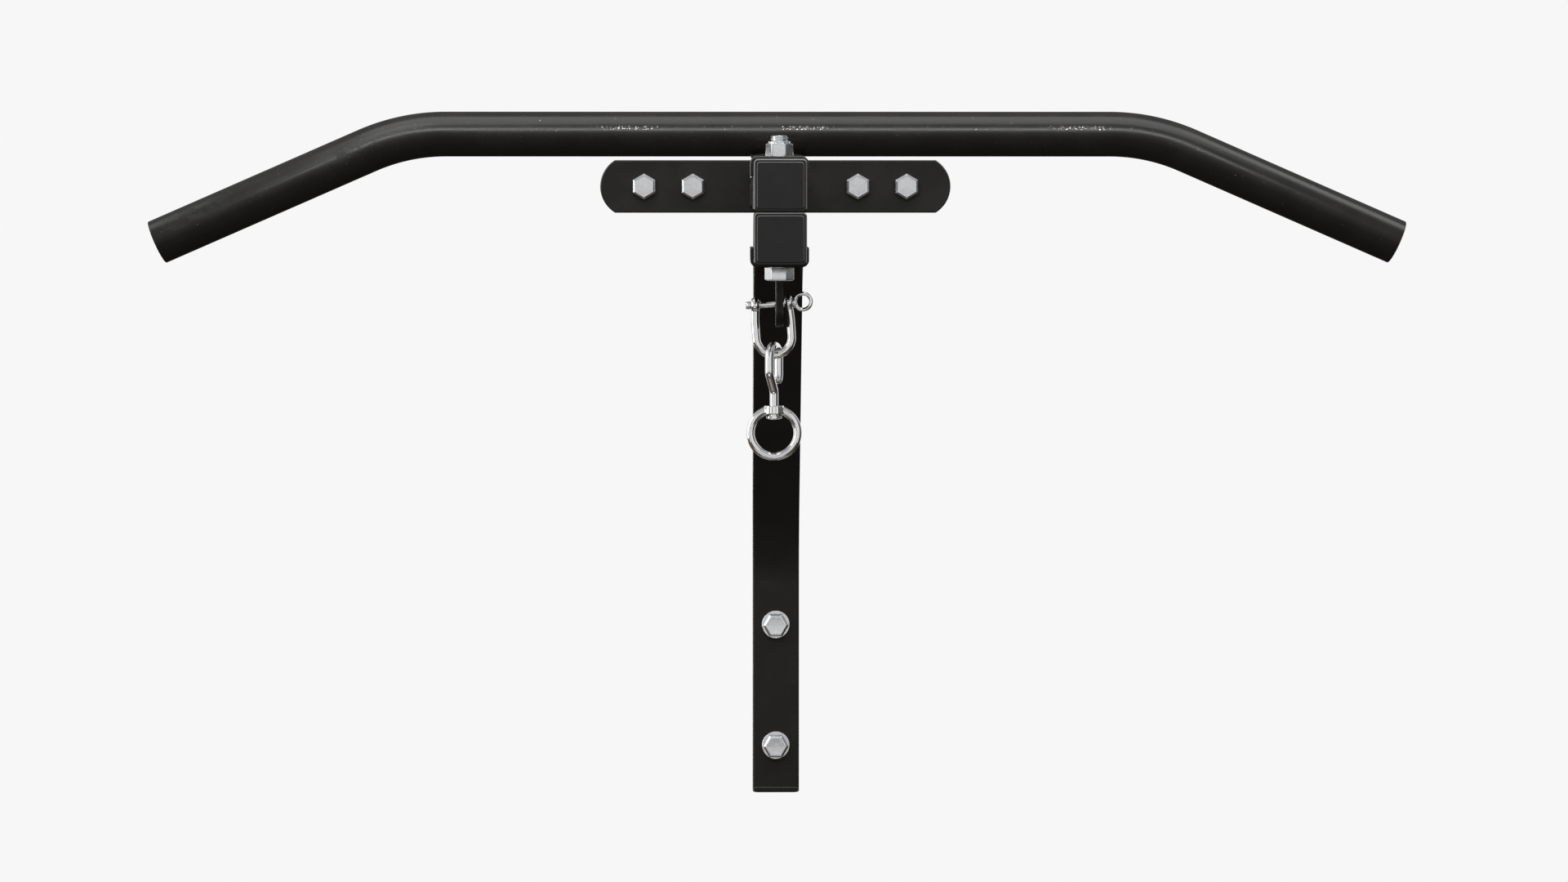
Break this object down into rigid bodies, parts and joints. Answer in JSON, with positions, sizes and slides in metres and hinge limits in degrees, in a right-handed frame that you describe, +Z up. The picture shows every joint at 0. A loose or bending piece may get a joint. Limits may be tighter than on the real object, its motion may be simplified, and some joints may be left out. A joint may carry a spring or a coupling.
{
  "type": "wall-mounted pull-up bar with punch bag hanger",
  "caption": "Black wall bracket with a long pull-up bar bent down at both ends, a braced square arm, and a shackle, swivel hook and ring to hang a punch bag.",
  "frame": {"origin": "on the wall, at the middle of the wall plate's back face", "axes": "+X to the right along the pull-up bar, +Y into the wall, so the arm reaches out along -Y, +Z up"},
  "size_m": [1.0122, 0.5205, 0.5819],
  "materials": {
    "black_coat": "satin black powder coat on steel, light wear on the grip",
    "black_weld": "powder coated weld bead, rippled",
    "black_plastic": "moulded black plastic, fine grain",
    "zinc": "bright zinc plated steel",
    "polished": "polished stainless steel",
    "nylon": "natural nylon ring"
  },
  "bodies": {
    "bracket": {"wall_plate": "black_coat", "plate_screws": "zinc", "arm_tube": "black_coat", "arm_weld": "black_weld", "arm_cap": "black_plastic", "brace_tube": "black_coat", "brace_cap": "black_plastic", "foot_cap": "black_plastic", "foot_screws": "zinc", "foot_washers": "zinc", "top_saddle": "black_coat", "bottom_saddle": "black_coat", "hanger_bolt": "zinc", "lock_nut": "zinc", "nut_insert": "nylon", "bar_tube": "black_coat", "bar_plugs": "black_plastic", "bar_bracket": "black_coat", "bar_welds": "black_weld", "bracket_welds": "black_weld", "hanger_lug": "black_coat", "lug_welds": "black_weld"},
    "shackle": {"shackle_bow": "polished"},
    "pin": {"shackle_pin": "polished"},
    "hook": {"swivel_hook": "polished", "swivel_collar": "polished"},
    "ring": {"swivel_ring": "polished"}
  },
  "joints": [
    {"name": "shackle_swing", "type": "hinge", "parent": "bracket", "child": "shackle", "pos_m": [-0.00573, -0.33, -0.09236], "axis": [0.9976, 0, 0.0698], "range_deg": [-60, 45]},
    {"name": "pin_turn", "type": "hinge", "parent": "shackle", "child": "pin", "pos_m": [-0.00573, -0.33, -0.09236], "axis": [0.9976, 0, 0.0698], "range_deg": [0, 1800]},
    {"name": "hook_swing", "type": "hinge", "parent": "shackle", "child": "hook", "pos_m": [-0.00385, -0.33, -0.1325], "axis": [1, 0, 0], "range_deg": [-25, 25]},
    {"name": "ring_swivel", "type": "hinge", "parent": "hook", "child": "ring", "pos_m": [-0.00385, -0.33, -0.1937], "axis": [0, 0, 1], "continuous": true}
  ]
}
